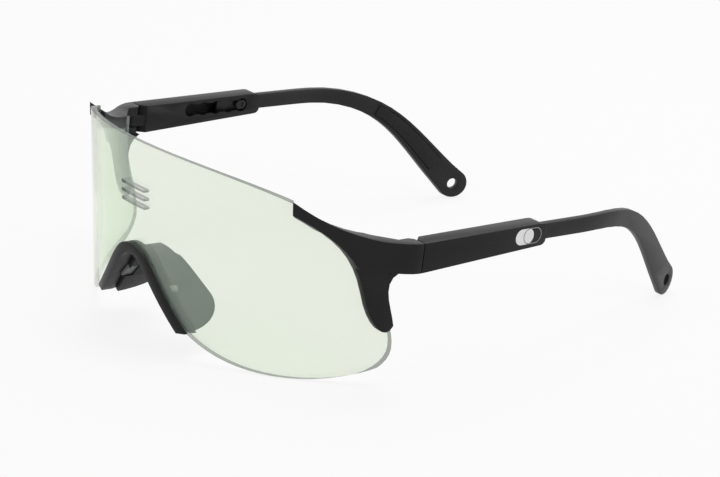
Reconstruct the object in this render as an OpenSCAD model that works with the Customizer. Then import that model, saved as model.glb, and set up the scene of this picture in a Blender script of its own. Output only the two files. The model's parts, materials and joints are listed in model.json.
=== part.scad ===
// Wrap-around cycling sunglasses: one shield lens, two endpieces, two folding
// temples whose rear arms slide in and out of hollow sleeves.
// The wearer looks along -Y, +Z is up, +X is the wearer's left. The shapes are drawn
// with the temple hinge seam at Y = 0 and the top of the sleeves at Z = 0, and are then
// set down on the floor, where they rest on the lens's lower edge and the two arm tips.

/* [Stance] */
// How far the temples slope down to the tips when set down, degrees
rest_slope = 2.3; // [1.8:0.1:3]
// Height of the top of the hinge seam above the floor
seam_height = 41.27; // [41:0.01:44]
// How far the hinge seam lies in front of the middle of the footprint
seam_forward = 36.54; // [30:0.01:45]

/* [Lens] */
// Radius of the outer face of the lens
lens_r = 63; // [60:0.5:66]
// How far the lens's centre of curvature lies behind the hinge seam
lens_back = 17.5; // [15:0.5:20]
// Thickness of the lens
lens_t = 1.5; // [1.2:0.1:2.2]
// Lean of the lens, top edge forward, degrees
lens_lean = 7; // [5:0.5:9]
// Height of the lens's top edge above the seam, in the middle
lens_top = 13.4; // [12:0.2:15]
// Depth of the lens's lower edge below the seam
lens_drop = 42.6; // [40:0.2:45]
// Length of each vent slot
vent_l = 9.8; // [7:0.2:12]
// Width of each vent slot
vent_w = 0.9; // [0.7:0.1:1.2]
// Distance from one vent slot to the next
vent_pitch = 2.4; // [2:0.1:3]

/* [Nose] */
// Height of the top of the nose notch, below the seam
notch_drop = 16.6; // [15:0.2:18]
// Half the width of the nose notch at its foot
notch_half_w = 20; // [18:0.2:22]
// Width of the rim that clips round the notch
rim_w = 2.9; // [2.4:0.1:3.4]
// How far the rim stands in front of the lens
rim_t = 1; // [0.6:0.1:1.4]
// Thickness of the two wings behind the rim
wing_t = 1.3; // [1:0.1:1.6]
// Thickness of the soft nose pads
pad_t = 1.5; // [1.2:0.1:2]
// How far the pads reach back from the lens
pad_reach = 16.5; // [13:0.5:18]

/* [Endpieces] */
// Half the width of the glasses over the endpieces, at the hinge seam
half_w = 66; // [65:0.5:68]
// Thickness of the flange on the outer face of the lens
flange_t = 1.6; // [1.2:0.1:2]
// Thickness of the lip behind the lens
lip_t = 1.2; // [1:0.1:2]
// Height of the hinge seam
seam_h = 8.2; // [7.6:0.1:9]

/* [Hinges] */
// Distance from the inner face to the hinge pin
pin_in = 2.1; // [1.9:0.05:2.3]
// Distance from the seam forward to the hinge pin
pin_fwd = 2; // [1.9:0.1:2.4]
// Radius of the hinge pin
pin_r = 0.7; // [0.6:0.05:0.8]
// Height of the knuckle on the sleeve
knuckle_h = 3.3; // [2.8:0.1:3.8]
// Radius of the knuckle
knuckle_r = 1.8; // [1.6:0.1:1.9]
// Width of the joint between the endpiece and the sleeve
seam_gap = 0.3; // [0.2:0.05:0.4]

/* [Temples] */
// Thickness of the sleeve, from inner to outer face
sleeve_t = 5.2; // [5:0.1:5.6]
// Length of the sleeve behind the seam
sleeve_l = 44.4; // [42:0.2:50]
// Height of the sleeve at its rear end
sleeve_rear_h = 6.3; // [6:0.1:7]
// Thickness of the sliding arm
arm_t = 2; // [1.8:0.1:2.2]
// Height of the sliding arm
arm_h = 4.5; // [4.2:0.1:4.7]
// Distance from one stop of the sliding arm to the next
stop_pitch = 4.77; // [4.5:0.01:5]
// Radius of one lobe of the stop slot
lobe_r = 2.05; // [1.9:0.05:2.2]
// Distance of the last lobe's middle from the rear end of the sleeve
lobe_inset = 6.92; // [6.4:0.02:7.6]

/* [Arm tips] */
// Where the sliding arm begins to turn inwards
turn_start = 59.5; // [59:0.5:64]
// Radius of the inward turn
turn_r = 60; // [50:1:70]
// Angle of the inward turn, degrees
turn_angle = 18.5; // [16:0.5:20]
// Distance of the cord hole behind the seam
hole_back = 116.8; // [114:0.2:120]
// Depth of the cord hole below the seam
hole_drop = 32; // [30:0.2:34]
// Radius of the cord hole
hole_r = 1.7; // [1.4:0.1:2]
// Radius of the round paddle at the tip
paddle_r = 4.6; // [4.2:0.1:5]
// How far the rubber grip stands out of the arm
grip_proud = 0.4; // [0.2:0.1:0.6]

/* [Hidden] */
$fn = 96;
black = [0.13, 0.13, 0.14];
rubber = [0.2, 0.2, 0.21];
steel = [0.7, 0.7, 0.72];
clear_green = [0.85, 0.93, 0.86, 0.45];

far = 200;
fit = 0.05;
slide_gap = 0.12;

lens_in_r = lens_r - lens_t;
flange_r = lens_r + flange_t;
lip_r = lens_in_r - lip_t;
seat_gap = 0.05;
vent_top = -0.1;
rim_r = lens_r + rim_t;
seat_in = 1.2;
pad_edge = -rim_w * 0.5 - seat_in;
pad_low = -notch_drop - 20.5;
pad_start = 4;
wing_root = lens_back - lens_in_r + 3.4;
wing_inset = 1.4;
peg_at = [6.5, wing_root + 3.6, -notch_drop - 11.5];
peg_size = [9, 3, 4];
lens_side_y = -0.5;
lens_side_z = -31.5;
lens_tuck_y = -7.2;
lens_tuck_z = -11.2;

inner_x = half_w - sleeve_t;
pin_x = inner_x + pin_in;
pin_y = -pin_fwd;
knuckle_mid = -seam_h * 0.5 - 0.3;
stub_l = 9.5;
fold_room_y = pin_y - 2.5;
tip_angle = 44.5;
roof_line = [0, -9, -12, -15, -18, -21, -24, -26.6, -29];
roof_t = 1;
fold_corner = 1.2;
ear_gap = 0.15;
pin_top = -1.3;
head_r = 1.25;
head_t = 0.8;

sleeve_rise = 0.5;
wall_out = (sleeve_t - arm_t) * 0.5;
arm_x = half_w - wall_out - arm_t * 0.5;
arm_mid_z = sleeve_rise - sleeve_rear_h * 0.5;
hollow_start = 12.5;
stops = 5;
neck_h = 3.2;
button_h = 2.7;
button_y = sleeve_l - lobe_inset;
lobe_start = button_y - (stops - 1) * stop_pitch;
button_l = 2 * lobe_r - 0.3;
button_corner = 0.9;
arm_front = button_y - 8.2;

turn_x = arm_x - turn_r;
turn_end_y = turn_start + turn_r * sin(turn_angle);
turn_end_x = turn_x + turn_r * cos(turn_angle);
hole_along = (hole_back - turn_end_y) / cos(turn_angle);
hole_x = turn_end_x - hole_along * sin(turn_angle);
grip_depth = 0.5;
turn_steps = 12;
tip_run = 80;

// Smooth curve through four control points
function bez(p, t) = pow(1 - t, 3) * p[0] + 3 * pow(1 - t, 2) * t * p[1]
    + 3 * (1 - t) * t * t * p[2] + t * t * t * p[3];
function bez_way(p, t) = 3 * pow(1 - t, 2) * (p[1] - p[0]) + 6 * (1 - t) * t * (p[2] - p[1])
    + 3 * t * t * (p[3] - p[2]);
function unit(v) = v / norm(v);
function left_of(v) = [-v[1], v[0]];
function steps(n) = [for (i = [0:n]) i / n];

// Stands the finished glasses on the floor, with the middle of the footprint at the origin
module stand() {
    translate([0, -seam_forward, seam_height]) rotate([-rest_slope, 0, 0]) children();
}

// The same piece on the wearer's other side
module side(s) {
    if (s > 0) children();
    else mirror([1, 0, 0]) children();
}

// A ring that follows the curved and leaning lens
module shell(r_out, r_in) {
    rotate([lens_lean, 0, 0]) translate([0, lens_back, 0]) difference() {
        cylinder(r = r_out, h = 3 * lens_drop, center = true, $fn = 180);
        cylinder(r = r_in, h = 4 * lens_drop, center = true, $fn = 180);
    }
}

// A front view outline (X, Z), taken right through the lens from front to back
module from_front(y0 = -far, y1 = 0) {
    translate([0, y1, 0]) rotate([90, 0, 0]) linear_extrude(y1 - y0) children();
}

// A side view outline (Y, Z), taken across from x0 to x1
module from_side(x0, x1) {
    translate([x0, 0, 0]) rotate([90, 0, 90]) linear_extrude(x1 - x0) children();
}

// Lens

// Half of the notch for the nose, as points from its top outwards; m moves the edge out
function notch_side(m) = [for (t = steps(10))
    bez([[0, -notch_drop + m], [7.2 + m, -notch_drop + m],
         [8.4 + m, -notch_drop - 7.5], [notch_half_w + m, -notch_drop - 19.5 + m * 0.2]], t)];

function mirrored(p) = [for (i = [len(p) - 1:-1:0]) [-p[i][0], p[i][1]]];

module lens_outline() {
    top_curve = [[0, lens_top], [22, lens_top], [36, lens_top - 1.9], [45, lens_top - 6.2]];
    tuck_curve = [[45, lens_top - 6.2], [51, lens_top - 10.3], [53, 0.5], [half_w, -0.6]];
    side_curve = [[half_w, -lens_drop + 16], [59.6, -lens_drop + 8.2],
        [58.6, -lens_drop + 3.6], [49, -lens_drop + 1.2]];
    low_curve = [[49, -lens_drop + 1.2], [39, -lens_drop - 0.9],
        [27.5, -lens_drop + 1.2], [notch_half_w - 1.2, -notch_drop - 19]];
    notch = notch_side(-seat_in);
    half = concat([for (i = [1:10]) bez(top_curve, i / 10)],
        [for (i = [1:6]) bez(tuck_curve, i / 6)],
        [for (t = steps(12)) bez(side_curve, t)],
        [for (i = [1:12]) bez(low_curve, i / 12)],
        [for (i = [len(notch) - 2:-1:1]) notch[i]]);
    polygon(concat([[0, lens_top]], half, [notch[0]], mirrored(half)));
}

module vent_slots() {
    for (i = [0:2]) from_front() translate([0, vent_top - i * vent_pitch])
        for (s = [-1, 1]) union() {
            translate([s * vent_l * 0.25, 0]) square([vent_l * 0.5, vent_w], center = true);
            translate([s * vent_l * 0.5, 0]) circle(d = vent_w);
        }
}

module lens_side_cut() {
    corner = [[-12, 1.4 - lens_drop], [-5, 3.2 - lens_drop],
        [lens_side_y, 6.6 - lens_drop], [lens_side_y, lens_side_z]];
    rear = [[lens_side_y, lens_side_z], [lens_side_y, lens_side_z + 5.5],
        [lens_tuck_y + 2.2, lens_tuck_z - 7.8], [lens_tuck_y, lens_tuck_z]];
    from_side(-far, far) polygon(concat([[far, -far], [corner[0][0], -far]],
        [for (t = steps(8)) bez(corner, t)],
        [for (i = [1:8]) bez(rear, i / 8)],
        [[lens_tuck_y, far], [far, far]]));
}

// The part of the view from above that lies behind a radius of the lens, from front to back
module behind_radius(angle) {
    rotate([lens_lean, 0, 0]) translate([0, lens_back, 0]) linear_extrude(far, center = true)
        for (s = [-1, 1]) scale([s, 1])
            polygon([[0, 0], far * [cos(angle), -sin(angle)], [far, 0]]);
}

// What is taken off the top of the lens to fit it under the roofs of the endpieces
module roof_room(gap = 0) {
    from_side(-far, far) polygon(concat([for (y = roof_line) [y, end_top(y) - roof_t + gap]],
        [[-29, far], [0, far]]));
}

module lens_body(gap = 0) {
    difference() {
        from_front() translate([0, gap]) lens_outline();
        translate([0, gap, gap]) lens_side_cut();
        intersection() {
            roof_room(gap);
            behind_radius(tip_angle + 0.15);
        }
    }
}

module lens() {
    color(clear_green) stand() difference() {
        intersection() {
            shell(lens_r, lens_in_r);
            lens_body();
        }
        vent_slots();
    }
}

// Endpieces

function end_top(y) = y > -9 ? 0 : 0.0175 * pow(-9 - y, 2) + 0.065 * (-9 - y);

module endpiece_outline() {
    front_y = -29;
    top = [for (y = roof_line) [y, end_top(y)]];
    inner = [for (t = steps(8)) bez([[front_y + 2, 3.6], [-18.5, -1.2], [-14, -5], [-10.6, -16]], t)];
    foot = [for (t = steps(8)) bez([[-10.6, -16], [-8, -25.2], [-3.6, -29], [-2.1, -24.4]], t)];
    crotch = [for (t = steps(8)) bez([[-2.1, -24.4], [-3.6, -18], [-8.6, -seam_h - 2.2], [0, -seam_h]], t)];
    polygon(concat(top, [[front_y, 5.6], [front_y + 0.6, 4.4]], inner, foot, crotch));
}

module top_band() {
    polygon(concat([for (y = roof_line) [y, end_top(y)]],
        [for (i = [len(roof_line) - 1:-1:0]) [roof_line[i], end_top(roof_line[i]) - 3.4]]));
}

// Distance of the flange from the middle of the glasses, y behind the seam
function flange_x(y) = sqrt(pow(lens_r + flange_t * 0.5, 2) - pow(y - lens_back, 2));

module stub_plan() {
    blend_y = -19;
    blend = [sqrt(pow(flange_r, 2) - pow(blend_y - lens_back, 2)), blend_y];
    along = [lens_back - blend_y, blend[0]] / flange_r;
    edge = [for (t = steps(8)) bez([[half_w, 0], [half_w, -6], blend + 7 * along, blend], t)];
    polygon(concat(edge, [for (y = [-15.5, -12.5, -stub_l, fold_room_y]) [flange_x(y), y]],
        [[inner_x, fold_room_y], [inner_x, -fold_corner], [inner_x + fold_corner, 0]]));
}

module fork_cut() {
    cut_r = knuckle_r + ear_gap;
    cut_h = knuckle_h + 2 * ear_gap;
    translate([pin_x, pin_y, knuckle_mid - cut_h * 0.5]) {
        cylinder(r = cut_r, h = cut_h);
        translate([-far, -cut_r, 0]) cube([far, 2 * cut_r, cut_h]);
        translate([-far, 0, 0]) cube([far + cut_r, far, cut_h]);
    }
}

// Room behind the endpiece for the sleeve to fold into
module fold_room() {
    translate([0, 0, -seam_h - fit]) linear_extrude(far)
        polygon([[-far, fold_room_y - 5.7], [inner_x - 7, fold_room_y - 5.7],
            [inner_x, fold_room_y], [inner_x, -fold_corner],
            [inner_x + fold_corner, 0], [inner_x + fold_corner, far], [-far, far]]);
}

module pin_hole() {
    translate([pin_x, pin_y, -far]) cylinder(r = pin_r, h = far + pin_top);
    translate([pin_x, pin_y, -far - seam_h + head_t]) cylinder(r = head_r + fit, h = far);
}

module endpiece(s) {
    color(black) stand() side(s) difference() {
        union() {
            intersection() {
                shell(flange_r, lens_r + seat_gap);
                from_side(30, half_w) endpiece_outline();
                behind_radius(tip_angle);
            }
            intersection() {
                shell(flange_r, lip_r);
                from_side(30, half_w) intersection() {
                    endpiece_outline();
                    top_band();
                }
                behind_radius(tip_angle);
            }
            intersection() {
                translate([0, 0, -seam_h]) linear_extrude(2 * seam_h) stub_plan();
                from_side(30, half_w) endpiece_outline();
            }
        }
        intersection() {
            shell(lens_r + seat_gap, lens_in_r - seat_gap);
            lens_body(seat_gap);
        }
        fold_room();
        fork_cut();
        pin_hole();
    }
}

// Hinges

module hinge_screw(s) {
    color(steel) stand() side(s) difference() {
        union() {
            translate([pin_x, pin_y, -seam_h + head_t * 0.5])
                cylinder(r = pin_r, h = seam_h + pin_top - head_t * 0.5 - fit);
            translate([pin_x, pin_y, -seam_h + fit]) cylinder(r = head_r, h = head_t - 2 * fit);
        }
        translate([pin_x, pin_y, -seam_h + fit]) cube([3 * head_r, 0.4, 0.6], center = true);
    }
}

// Temple sleeves

module sleeve_outline() {
    low = arm_mid_z - sleeve_rear_h * 0.5;
    corner = 1.6;
    polygon(concat([[seam_gap, 0], [sleeve_l - 3, sleeve_rise]],
        [for (t = steps(5)) bez([[sleeve_l - 3, sleeve_rise], [sleeve_l - 1.4, sleeve_rise],
            [sleeve_l - 0.6, sleeve_rise - 0.5], [sleeve_l, sleeve_rise - 1.2]], t)],
        [for (t = steps(5)) bez([[sleeve_l, low + corner], [sleeve_l, low + 0.7],
            [sleeve_l - 0.7, low + 0.1], [sleeve_l - corner, low]], t)],
        [[sleeve_l - corner, low], [seam_gap, -seam_h]]));
}

module sleeve_plan() {
    polygon([[half_w, seam_gap], [half_w, sleeve_l + 1], [inner_x, sleeve_l + 1],
        [inner_x, seam_gap + 2], [inner_x + 1.8, seam_gap]]);
}

module stop_slot() {
    from_side(inner_x - 1, arm_x) translate([0, arm_mid_z]) {
        for (i = [0:stops - 1]) translate([lobe_start + i * stop_pitch, 0]) circle(r = lobe_r);
        translate([lobe_start, -neck_h * 0.5]) square([(stops - 1) * stop_pitch, neck_h]);
    }
}

module knuckle() {
    translate([pin_x, pin_y, knuckle_mid - knuckle_h * 0.5]) {
        cylinder(r = knuckle_r, h = knuckle_h);
        translate([-knuckle_r, 0, 0]) cube([2 * knuckle_r, pin_fwd + seam_gap + 2.4, knuckle_h]);
    }
}

module temple_sleeve(s) {
    hollow_h = arm_h + 2 * slide_gap;
    hollow_t = arm_t + 2 * slide_gap;
    color(black) stand() side(s) difference() {
        union() {
            intersection() {
                from_side(inner_x, half_w) sleeve_outline();
                translate([0, 0, -far * 0.5]) linear_extrude(far) sleeve_plan();
            }
            knuckle();
        }
        translate([arm_x - hollow_t * 0.5, hollow_start, arm_mid_z - hollow_h * 0.5])
            cube([hollow_t, far, hollow_h]);
        stop_slot();
        translate([pin_x, pin_y, -far * 0.5]) cylinder(r = pin_r + fit, h = far);
    }
}

// Sliding arms

arm_bend = [[turn_start + 6, arm_mid_z], [turn_start + 34, arm_mid_z],
    [hole_back - 18, -hole_drop + 16], [hole_back, -hole_drop]];
function arm_half(t) = arm_h * 0.5 + (paddle_r - 0.2 - arm_h * 0.5) * pow(t, 1.4);
function arm_edge(t, side) = bez(arm_bend, t)
    + side * arm_half(t) * unit(left_of(bez_way(arm_bend, t)));

module arm_outline() {
    n = 14;
    way = unit(bez_way(arm_bend, 1));
    out = left_of(way);
    end_cap = [for (i = [0:16]) [hole_back, -hole_drop]
        + paddle_r * (cos(100 - i * 12.5) * way + sin(100 - i * 12.5) * out)];
    polygon(concat([[arm_front, arm_mid_z + arm_h * 0.5]],
        [for (i = [0:n - 1]) arm_edge(i / n, 1)],
        end_cap,
        [for (i = [n - 1:-1:0]) arm_edge(i / n, -1)],
        [[arm_front, arm_mid_z - arm_h * 0.5]]));
}

function grip_edge(t, side, m) = bez(arm_bend, t)
    + side * (arm_half(t) * 0.62 - m) * unit(left_of(bez_way(arm_bend, t)));

module grip_outline(m) {
    t0 = 0.36;
    t1 = 0.86;
    n = 8;
    t_list = [for (t = steps(n)) t0 + (t1 - t0) * t];
    polygon(concat([for (t = t_list) grip_edge(t, 1, m)],
        [for (i = [n:-1:0]) grip_edge(t_list[i], -1, m)]));
}

// The arm's line seen from above, moved out by m from the arm's middle, as (X, Y) points
function arm_line(m) = concat([[arm_x + m, arm_front - 1]],
    [for (t = steps(turn_steps)) [turn_x + (turn_r + m) * cos(turn_angle * t),
        turn_start + (turn_r + m) * sin(turn_angle * t)]],
    [[turn_end_x + m * cos(turn_angle) - tip_run * sin(turn_angle),
        turn_end_y + m * sin(turn_angle) + tip_run * cos(turn_angle)]]);

// A bar of thickness t, d inwards of the arm's middle, that follows the arm seen from above
module arm_bar(t, d = 0) {
    outer = arm_line(t * 0.5 - d);
    inner = arm_line(-t * 0.5 - d);
    translate([0, 0, -far * 0.5]) linear_extrude(far)
        polygon(concat(outer, [for (i = [len(inner) - 1:-1:0]) inner[i]]));
}

module at_hole() {
    translate([hole_x, hole_back, -hole_drop]) rotate([0, 0, turn_angle]) rotate([0, 90, 0]) children();
}

module temple_arm(s) {
    color(black) stand() side(s) difference() {
        intersection() {
            arm_bar(arm_t);
            from_side(0, far) arm_outline();
        }
        intersection() {
            arm_bar(grip_depth * 2 + fit * 2, arm_t * 0.5);
            from_side(0, far) grip_outline(0);
        }
        at_hole() cylinder(r = hole_r, h = 10, center = true);
    }
}

module ear_grip(s) {
    color(rubber) stand() side(s) intersection() {
        arm_bar(grip_depth + grip_proud, arm_t * 0.5 - (grip_depth - grip_proud) * 0.5);
        from_side(0, far) grip_outline(fit);
    }
}

module stop_button(s) {
    x0 = inner_x + 0.2;
    color(black) stand() side(s) difference() {
        from_side(x0, arm_x - arm_t * 0.5) translate([button_y, arm_mid_z]) polygon([
            [-button_l * 0.5, -button_h * 0.5 + button_corner],
            [-button_l * 0.5 + button_corner, -button_h * 0.5],
            [button_l * 0.5 - button_corner, -button_h * 0.5],
            [button_l * 0.5, -button_h * 0.5 + button_corner],
            [button_l * 0.5, button_h * 0.5 - button_corner],
            [button_l * 0.5 - button_corner, button_h * 0.5],
            [-button_l * 0.5 + button_corner, button_h * 0.5],
            [-button_l * 0.5, button_h * 0.5 - button_corner]]);
        from_side(x0 - 1, x0 + 0.3) translate([button_y, arm_mid_z]) square([1.4, 1.4], center = true);
    }
}

// Nose piece

function notch_band(m0, m1) = concat(notch_side(m0), [for (i = [10:-1:0]) notch_side(m1)[i]]);

module band(m0, m1) {
    for (s = [-1, 1]) scale([s, 1]) polygon(notch_band(m0, m1));
}

// The wing seen from the side, from the lens back to its rounded rear edge
module wing_side_view(reach, low) {
    front = lens_back - lens_r - 1.5;
    back = wing_root + reach;
    upper = [[back - 14, 3 - notch_drop], [back - 7.5, 0.6 - notch_drop],
        [back - 3.4, -8 - notch_drop], [back - 0.2, -13.2 - notch_drop]];
    lower = [[back - 0.2, -13.2 - notch_drop], [back + 0.9, -16.2 - notch_drop],
        [back - 2.4, low + 0.6], [back - 12.4, low]];
    polygon(concat([[front, low], [front, 3 - notch_drop]],
        [for (t = steps(8)) bez(upper, t)],
        [for (i = [1:8]) bez(lower, i / 8)]));
}

module nose_bridge() {
    color(black) stand() difference() {
        union() {
            intersection() {
                shell(rim_r, lens_in_r - seat_in);
                from_front() band(rim_w * 0.5 - seat_in, pad_edge);
            }
            intersection() {
                from_front() band(pad_edge + wing_t, pad_edge);
                from_side(-far, far) wing_side_view(pad_reach - wing_inset, pad_low + 0.5);
                shell(lens_in_r - seat_in * 0.5, lens_in_r - 2 * pad_reach);
            }
        }
        intersection() {
            shell(lens_r + seat_gap, lens_in_r - seat_gap);
            from_front() difference() {
                square([4 * notch_half_w, 4 * lens_drop], center = true);
                for (s = [-1, 1]) scale([s, 1])
                    polygon(concat(notch_side(-seat_in - seat_gap), [[notch_half_w, -far], [0, -far]]));
            }
        }
        for (s = [-1, 1]) side(s) peg_shape(fit);
    }
}

module peg_shape(m) {
    translate(peg_at) cube([peg_size[0], peg_size[1] + 2 * m, peg_size[2] + 2 * m], center = true);
}

module nose_pad(s) {
    color(rubber) stand() side(s) difference() {
        intersection() {
            from_front() polygon(notch_band(pad_edge - 0.02, pad_edge - pad_t));
            from_side(0, far) intersection() {
                wing_side_view(pad_reach, pad_low);
                translate([-far, -far]) square([2 * far, far - notch_drop - pad_start]);
            }
            shell(lens_in_r - 2, lens_in_r - 2 * pad_reach);
        }
        peg_shape(fit);
    }
}

module pad_peg(s) {
    color(rubber) stand() side(s) intersection() {
        peg_shape(0);
        from_front() polygon(notch_band(pad_edge + wing_t + 0.4, pad_edge - pad_t * 0.6));
    }
}

lens();
endpiece(1);  // left_endpiece
endpiece(-1);  // right_endpiece
hinge_screw(1);  // left_hinge_screw
hinge_screw(-1);  // right_hinge_screw
nose_bridge();
nose_pad(1);  // left_nose_pad
nose_pad(-1);  // right_nose_pad
pad_peg(1);  // left_pad_peg
pad_peg(-1);  // right_pad_peg
temple_sleeve(1);  // left_temple_sleeve
temple_sleeve(-1);  // right_temple_sleeve
temple_arm(1);  // left_temple_arm
temple_arm(-1);  // right_temple_arm
stop_button(1);  // left_stop_button
stop_button(-1);  // right_stop_button
ear_grip(1);  // left_ear_grip
ear_grip(-1);  // right_ear_grip
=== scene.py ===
"""Looks of the wrap-around cycling sunglasses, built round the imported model."""
import json
import math

import bmesh
import bpy
from mathutils import Matrix, Vector

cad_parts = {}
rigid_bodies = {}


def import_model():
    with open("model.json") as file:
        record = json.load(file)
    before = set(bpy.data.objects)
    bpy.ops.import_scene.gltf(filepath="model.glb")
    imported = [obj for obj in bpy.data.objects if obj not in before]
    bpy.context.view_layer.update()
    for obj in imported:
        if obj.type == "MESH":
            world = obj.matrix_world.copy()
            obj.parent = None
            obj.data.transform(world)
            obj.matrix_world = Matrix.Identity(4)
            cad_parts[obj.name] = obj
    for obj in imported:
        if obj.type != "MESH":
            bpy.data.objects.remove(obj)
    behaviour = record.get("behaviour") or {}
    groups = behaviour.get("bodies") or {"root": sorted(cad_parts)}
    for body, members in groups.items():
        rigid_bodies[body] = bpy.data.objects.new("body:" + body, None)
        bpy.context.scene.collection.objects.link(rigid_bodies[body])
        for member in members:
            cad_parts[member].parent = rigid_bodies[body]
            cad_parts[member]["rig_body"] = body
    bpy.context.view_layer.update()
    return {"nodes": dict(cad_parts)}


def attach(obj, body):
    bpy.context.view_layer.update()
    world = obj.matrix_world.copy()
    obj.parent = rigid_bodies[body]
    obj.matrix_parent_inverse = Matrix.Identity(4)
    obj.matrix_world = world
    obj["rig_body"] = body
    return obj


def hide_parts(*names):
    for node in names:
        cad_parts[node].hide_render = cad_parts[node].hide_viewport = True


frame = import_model()
nodes = frame["nodes"]
scene = bpy.context.scene

MM = 0.001
SIDES = {"left": 1, "right": -1}

# Stance of the glasses, as the part's source sets it down
REST_SLOPE = math.radians(2.3)
SEAM_AT = Vector((0, -36.54, 41.27)) * MM
HALF_WIDTH = 66  # mm, to the outer faces of the sleeves
stand = Matrix.Translation(SEAM_AT) @ Matrix.Rotation(-REST_SLOPE, 4, "X")

# The lens: how far its axis lies behind the seam, its lean, and its optics
LENS_BACK = 17.5 * MM
LENS_LEAN = math.radians(7)
LENS_IOR = 1.5
LENS_VEIL = 0.13

# Cleaning a node's mesh, and the turn from which an edge is rounded or sharp
MERGE_DISTANCE = 0.000002
FLAT_ANGLE = math.radians(0.03)
ROUNDED_ANGLE = math.radians(32)
SHARP_ANGLE = math.radians(38)
LENS_SHARP_ANGLE = math.radians(30)
# How closely a front or back face of the lens looks along the radius
ALONG_RADIUS = 0.9

# Plain pill prints, in mm behind and above the seam
PILL_BACK, PILL_UP = 36.3, -2.6
PILL_LENGTH, PILL_HEIGHT = 6.6, 4.5
OUTLINE_SHIFT = 2.9
OUTLINE_WIDTH = 0.2
PRINT_PROUD = 0.03
ARC_STEPS = 20

# Surfaces: depth of the moulded grain, and the parts of a noise's range that a
# ramp spreads its two values over
GRAIN_DEPTH = 0.00004
EVEN_BAND = 0.3, 0.7
DRIFT_BAND = 0.35, 0.7
GRAIN_BAND = 0.3, 0.75

# The stage, in metres: the white share is what the background's rays see of plain
# white, and the world's light is what falls on the glasses
FLOOR_SIZE = 30
FLOOR_DROP = 0.0002
FLOOR_TONE = 0.85
FLOOR_WHITE_SHARE = 0.85
WORLD_LIGHT = 0.45
LAMP_AIM = Vector((0, 0, 0.03))

# The camera, as seen from the hinge seam
CAMERA_AT = Vector((507.5, -423.6, 202.5)) * MM
CAMERA_AZ = math.radians(47.756)
CAMERA_EL = math.radians(18.382)
CAMERA_ROLL = math.radians(7.19)
SENSOR_WIDTH = 36
FOCAL_PX = 2500
PHOTO_WIDTH_PX = 720


# Shader nodes

def new_material(name):
    mat = bpy.data.materials.new(name)
    mat.use_nodes = True
    tree = mat.node_tree
    return mat, tree, tree.nodes["Principled BSDF"]


def feed(tree, source, socket):
    """Gives a socket a fixed number, or the output of another node."""
    if isinstance(source, (int, float)):
        socket.default_value = source
    else:
        tree.links.new(source, socket)


def add(tree, kind, **inputs):
    node = tree.nodes.new(kind)
    for name, value in inputs.items():
        node.inputs[name.replace("_", " ")].default_value = value
    return node


def noise(tree, scale, detail, rough=0.5):
    coord = tree.nodes.new("ShaderNodeTexCoord")
    tex = add(tree, "ShaderNodeTexNoise", Scale=scale, Detail=detail, Roughness=rough)
    feed(tree, coord.outputs["Object"], tex.inputs["Vector"])
    return tex.outputs["Fac"]


def ramp(tree, source, positions, colours):
    node = tree.nodes.new("ShaderNodeValToRGB")
    for stop, position, colour in zip(node.color_ramp.elements, positions, colours):
        stop.position = position
        stop.color = colour
    feed(tree, source, node.inputs["Fac"])
    return node.outputs["Color"]


def between(tree, source, low, high):
    """Low where the source is 0, high where it is 1."""
    node = add(tree, "ShaderNodeMapRange", To_Min=low, To_Max=high)
    feed(tree, source, node.inputs["Value"])
    return node.outputs["Result"]


def calculate(tree, operation, first, second):
    node = tree.nodes.new("ShaderNodeMath")
    node.operation = operation
    feed(tree, first, node.inputs[0])
    feed(tree, second, node.inputs[1])
    return node.outputs[0]


def mix_shaders(tree, share, first, second):
    node = tree.nodes.new("ShaderNodeMixShader")
    feed(tree, share, node.inputs["Fac"])
    feed(tree, first.outputs[0], node.inputs[1])
    feed(tree, second.outputs[0], node.inputs[2])
    return node


def grey(tone):
    return (tone, tone, tone, 1)


def cool_black(tone, blue):
    return (tone, tone, blue, 1)


# Materials

def moulded(name, colours, rough, grain, bump, gloss=0.2):
    """Moulded plastic: slight colour drift, fine grain in roughness and relief."""
    mat, tree, shader = new_material(name)
    drift = noise(tree, scale=60, detail=3)
    feed(tree, ramp(tree, drift, DRIFT_BAND, colours), shader.inputs["Base Color"])
    fine = noise(tree, grain, detail=6, rough=0.6)
    feed(tree, ramp(tree, fine, GRAIN_BAND, map(grey, rough)), shader.inputs["Roughness"])
    relief = add(tree, "ShaderNodeBump", Strength=bump, Distance=GRAIN_DEPTH)
    feed(tree, fine, relief.inputs["Height"])
    feed(tree, relief.outputs["Normal"], shader.inputs["Normal"])
    shader.inputs["Specular IOR Level"].default_value = gloss
    return mat


def turned_steel(name):
    """Steel whose tone and roughness vary a little, as after turning."""
    mat, tree, shader = new_material(name)
    shader.inputs["Metallic"].default_value = 1.0
    turned = noise(tree, scale=5000, detail=2)
    tones = (0.42, 0.42, 0.43, 1), (0.6, 0.6, 0.61, 1)
    feed(tree, ramp(tree, turned, EVEN_BAND, tones), shader.inputs["Base Color"])
    feed(tree, ramp(tree, turned, EVEN_BAND, (grey(0.25), grey(0.4))),
         shader.inputs["Roughness"])
    return mat


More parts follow.
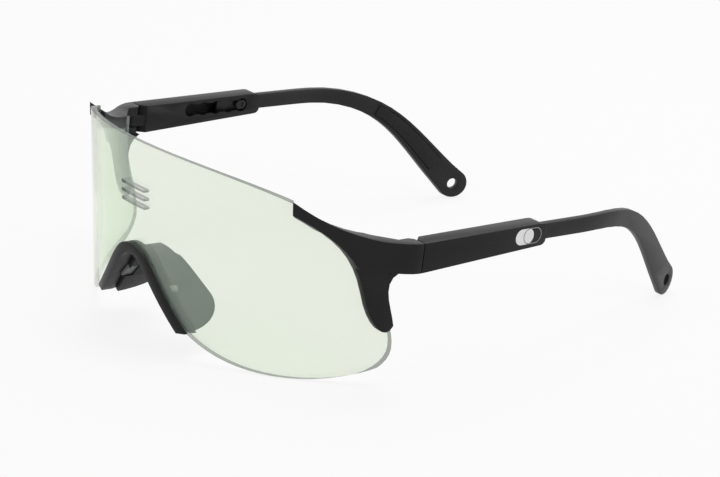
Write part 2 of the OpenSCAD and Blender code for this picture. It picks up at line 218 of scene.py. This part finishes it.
def tinted_lens(name, tints, gloss, veil):
    """Polycarbonate that light crosses straight and tinted, with a faint veil and a shine."""
    mat, tree, shader = new_material(name)
    tree.nodes.remove(shader)
    clear = add(tree, "ShaderNodeBsdfTransparent")
    drift = noise(tree, scale=14, detail=2)
    feed(tree, ramp(tree, drift, DRIFT_BAND, tints), clear.inputs["Color"])
    milky = add(tree, "ShaderNodeBsdfDiffuse", Color=veil)
    shine = add(tree, "ShaderNodeBsdfGlossy", Color=gloss, Roughness=0.02)
    # On the way out the index turns over, because the ray isn't bent inside the lens
    # and would otherwise be mirrored whole where it leaves at a slant
    facing = tree.nodes.new("ShaderNodeNewGeometry")
    fresnel = add(tree, "ShaderNodeFresnel")
    feed(tree, between(tree, facing.outputs["Backfacing"], LENS_IOR, 1 / LENS_IOR),
         fresnel.inputs["IOR"])
    body = mix_shaders(tree, LENS_VEIL, clear, milky)
    coated = mix_shaders(tree, fresnel.outputs[0], body, shine)
    feed(tree, coated.outputs[0], tree.nodes["Material Output"].inputs["Surface"])
    return mat


def cut_edge(name):
    """The cut edge of the lens, where the tint gathers to a grey green."""
    mat, tree, shader = new_material(name)
    tone = noise(tree, scale=400, detail=3)
    greens = (0.07, 0.09, 0.08, 1), (0.13, 0.16, 0.14, 1)
    feed(tree, ramp(tree, tone, EVEN_BAND, greens), shader.inputs["Base Color"])
    shader.inputs["Roughness"].default_value = 0.25
    shader.inputs["Alpha"].default_value = 0.75
    return mat


FRAME_TONES = cool_black(0.006, 0.0065), cool_black(0.009, 0.0095)
ARM_TONES = cool_black(0.008, 0.0085), cool_black(0.012, 0.0125)
RUBBER_TONES = cool_black(0.014, 0.0145), cool_black(0.02, 0.0205)

black = moulded("satin_black", FRAME_TONES, (0.33, 0.43), grain=4000, bump=0.15)
arm_black = moulded("arm_black", ARM_TONES, (0.36, 0.46), grain=4000, bump=0.18, gloss=0.28)
button_black = moulded("button_black", RUBBER_TONES, (0.35, 0.5), grain=4000, bump=0.15)
rubber = moulded("soft_rubber", RUBBER_TONES, (0.6, 0.75), grain=2500, bump=0.35)
pad_rubber = moulded("pad_rubber", RUBBER_TONES, (0.5, 0.65), grain=2500, bump=0.3)
peg_grey = moulded("peg_grey", ((0.2, 0.21, 0.2, 1), (0.26, 0.27, 0.26, 1)), (0.5, 0.65),
                   grain=2500, bump=0.2)
print_white = moulded("print_white", (grey(0.9), grey(0.95)), (0.4, 0.55), grain=3000, bump=0.1)
print_line = moulded("print_line", (grey(0.36), grey(0.42)), (0.4, 0.55), grain=3000, bump=0.1)
pin_steel = turned_steel("pin_steel")
lens_clear = tinted_lens("lens_clear", tints=((0.945, 0.985, 0.915, 1), (0.968, 0.974, 0.93, 1)),
                         gloss=(1.0, 1.0, 0.97, 1), veil=(0.75, 0.93, 0.8, 1))
lens_edge = cut_edge("lens_edge")


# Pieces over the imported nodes

def link_object(name, data):
    obj = bpy.data.objects.new(name, data)
    scene.collection.objects.link(obj)
    return obj


def smooth_by_angle(mesh, angle):
    """Smooth faces, with sharp edges where the surface turns by more than the angle."""
    bm = bmesh.new()
    bm.from_mesh(mesh)
    for face in bm.faces:
        face.smooth = True
    for edge in bm.edges:
        edge.smooth = len(edge.link_faces) == 2 and edge.calc_face_angle(0.0) < angle
    bm.to_mesh(mesh)
    bm.free()


def merged_copy(node, name):
    """A clean copy of a node's mesh, its doubles merged and its flat faces joined."""
    mesh = nodes[node].data.copy()
    mesh.name = name
    bm = bmesh.new()
    bm.from_mesh(mesh)
    bmesh.ops.remove_doubles(bm, verts=bm.verts, dist=MERGE_DISTANCE)
    bmesh.ops.dissolve_degenerate(bm, edges=bm.edges, dist=MERGE_DISTANCE)
    bmesh.ops.dissolve_limit(bm, angle_limit=FLAT_ANGLE, verts=bm.verts, edges=bm.edges)
    bm.to_mesh(mesh)
    bm.free()
    mesh.materials.clear()
    return link_object(name, mesh)


def bake_modifiers(obj):
    deps = bpy.context.evaluated_depsgraph_get()
    mesh = bpy.data.meshes.new_from_object(obj.evaluated_get(deps))
    obj.modifiers.clear()
    obj.data = mesh


def dress(node, material, rounding):
    """Replaces a node by the same form with its edges rounded, by a width in mm."""
    obj = merged_copy(node, node + "_skin")
    obj.data.materials.append(material)
    bevel = obj.modifiers.new("edge", "BEVEL")
    bevel.width = rounding * MM
    bevel.segments = 2
    bevel.limit_method = "ANGLE"
    bevel.angle_limit = ROUNDED_ANGLE
    bake_modifiers(obj)
    smooth_by_angle(obj.data, SHARP_ANGLE)
    body = nodes[node]["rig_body"]
    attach(obj, body)
    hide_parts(node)


def dress_lens():
    """The lens with its two faces clear and its cut edges in their own material."""
    obj = merged_copy("lens", "lens_shield")
    for mat in (lens_clear, lens_edge):
        obj.data.materials.append(mat)
    lean = stand @ Matrix.Rotation(LENS_LEAN, 4, "X") @ Matrix.Translation((0, LENS_BACK, 0))
    to_lens = lean.inverted()
    turn = to_lens.to_3x3()
    for face in obj.data.polygons:
        centre = to_lens @ face.center
        normal = turn @ face.normal
        radial = Vector((centre.x, centre.y, 0)).normalized()
        face.material_index = 0 if abs(normal.dot(radial)) > ALONG_RADIUS else 1
    smooth_by_angle(obj.data, LENS_SHARP_ANGLE)
    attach(obj, "front")
    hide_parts("lens")


for side in SIDES:
    dress(side + "_endpiece", black, rounding=0.22)
    dress(side + "_temple_sleeve", black, rounding=0.22)
    dress(side + "_temple_arm", arm_black, rounding=0.3)
    dress(side + "_stop_button", button_black, rounding=0.1)
    dress(side + "_ear_grip", rubber, rounding=0.12)
    dress(side + "_nose_pad", pad_rubber, rounding=0.3)
    dress(side + "_pad_peg", peg_grey, rounding=0.08)
    dress(side + "_hinge_screw", pin_steel, rounding=0.06)
dress("nose_bridge", black, rounding=0.2)
dress_lens()


# Plain pill prints on the sleeves

def pill_ring(back, inset=0):
    """Points round a pill, at a distance behind the seam, drawn in by the inset."""
    radius = PILL_HEIGHT / 2 - inset
    half = (PILL_LENGTH - PILL_HEIGHT) / 2
    ring = []
    for end, start in ((1, -90), (-1, 90)):
        for i in range(ARC_STEPS + 1):
            angle = math.radians(start + 180 * i / ARC_STEPS)
            ring.append((back + end * half + radius * math.cos(angle),
                         PILL_UP + radius * math.sin(angle)))
    return ring


def print_piece(name, side, rings, material):
    """A flat print on the sleeve's outer face; two rings make an outline."""
    sign = SIDES[side]
    outer_x = sign * (HALF_WIDTH + PRINT_PROUD)
    bm = bmesh.new()
    loops = [[bm.verts.new(stand @ (Vector((outer_x, y, z)) * MM)) for y, z in ring]
             for ring in rings]
    if len(loops) == 1:
        bm.faces.new(loops[0])
    else:
        outer, inner = loops
        for i in range(len(outer)):
            after = (i + 1) % len(outer)
            bm.faces.new([outer[i], outer[after], inner[after], inner[i]])
    for face in bm.faces:
        face.normal_update()
        if face.normal.x * sign < 0:
            face.normal_flip()
    mesh = bpy.data.meshes.new(name)
    bm.to_mesh(mesh)
    bm.free()
    mesh.materials.append(material)
    obj = link_object(name, mesh)
    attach(obj, side + "_sleeve")


for side in SIDES:
    outline_back = PILL_BACK + OUTLINE_SHIFT
    print_piece(side + "_pill_print", side, [pill_ring(PILL_BACK)], print_white)
    print_piece(side + "_pill_line", side,
                [pill_ring(outline_back), pill_ring(outline_back, OUTLINE_WIDTH)], print_line)


# Floor, backdrop and light

def white_rays(tree):
    """1 for the rays that show the background: camera, glossy and transmission."""
    path = tree.nodes.new("ShaderNodeLightPath")
    level = path.outputs["Is Camera Ray"]
    for ray in ("Is Glossy Ray", "Is Transmission Ray"):
        level = calculate(tree, "MAXIMUM", level, path.outputs[ray])
    return level


def stage_material(name):
    """Pale floor; the camera sees it near white with a faint shadow."""
    mat, tree, shader = new_material(name)
    shader.inputs["Base Color"].default_value = grey(FLOOR_TONE)
    shader.inputs["Roughness"].default_value = 0.9
    shader.inputs["Specular IOR Level"].default_value = 0.0
    glow = add(tree, "ShaderNodeEmission", Color=grey(1), Strength=1.0)
    share = calculate(tree, "MULTIPLY", white_rays(tree), FLOOR_WHITE_SHARE)
    shown = mix_shaders(tree, share, shader, glow)
    feed(tree, shown.outputs[0], tree.nodes["Material Output"].inputs["Surface"])
    return mat


def studio_world():
    """Even grey light, shown white to the camera."""
    world = bpy.data.worlds.new("studio")
    world.use_nodes = True
    tree = world.node_tree
    sky = tree.nodes["Background"]
    sky.inputs["Color"].default_value = grey(1)
    feed(tree, between(tree, white_rays(tree), WORLD_LIGHT, 1.0), sky.inputs["Strength"])
    scene.world = world


def lamp(name, at, size, power):
    light = bpy.data.lights.new(name, "AREA")
    light.shape = "RECTANGLE"
    light.size, light.size_y = size
    light.energy = power
    obj = link_object(name, light)
    obj.location = at
    obj.rotation_euler = (LAMP_AIM - Vector(at)).to_track_quat("-Z", "Y").to_euler()


bpy.ops.mesh.primitive_plane_add(size=FLOOR_SIZE, location=(0, 0, -FLOOR_DROP))
floor = bpy.context.object
floor.name = "floor"
floor.data.materials.append(stage_material("floor_white"))
studio_world()
lamp("top_light", at=(-0.1, 0.25, 0.8), size=(0.6, 0.6), power=3.4)
lamp("front_light", at=(0.2, -0.9, 0.6), size=(0.4, 0.4), power=1.0)
lamp("rear_side_light", at=(0.8, 0.6, 0.4), size=(0.3, 0.5), power=1.5)


# Camera at the photograph's angle

def place_camera(name):
    cam = bpy.data.cameras.new(name)
    cam.sensor_fit = "HORIZONTAL"
    cam.sensor_width = SENSOR_WIDTH
    cam.lens = SENSOR_WIDTH * FOCAL_PX / PHOTO_WIDTH_PX
    cam.clip_start, cam.clip_end = 0.01, 50
    back = Vector((math.sin(CAMERA_AZ) * math.cos(CAMERA_EL),
                   -math.cos(CAMERA_AZ) * math.cos(CAMERA_EL),
                   math.sin(CAMERA_EL)))
    right = (-back).cross(Vector((0, 0, 1))).normalized()
    up = right.cross(-back)
    c, s = math.cos(CAMERA_ROLL), math.sin(CAMERA_ROLL)
    right, up = c * right + s * up, c * up - s * right
    turn = Matrix((right, up, back)).transposed().to_4x4()
    obj = link_object(name, cam)
    obj.matrix_world = stand @ Matrix.Translation(CAMERA_AT) @ turn
    scene.camera = obj


place_camera("photo_camera")
scene.view_settings.view_transform = "Standard"
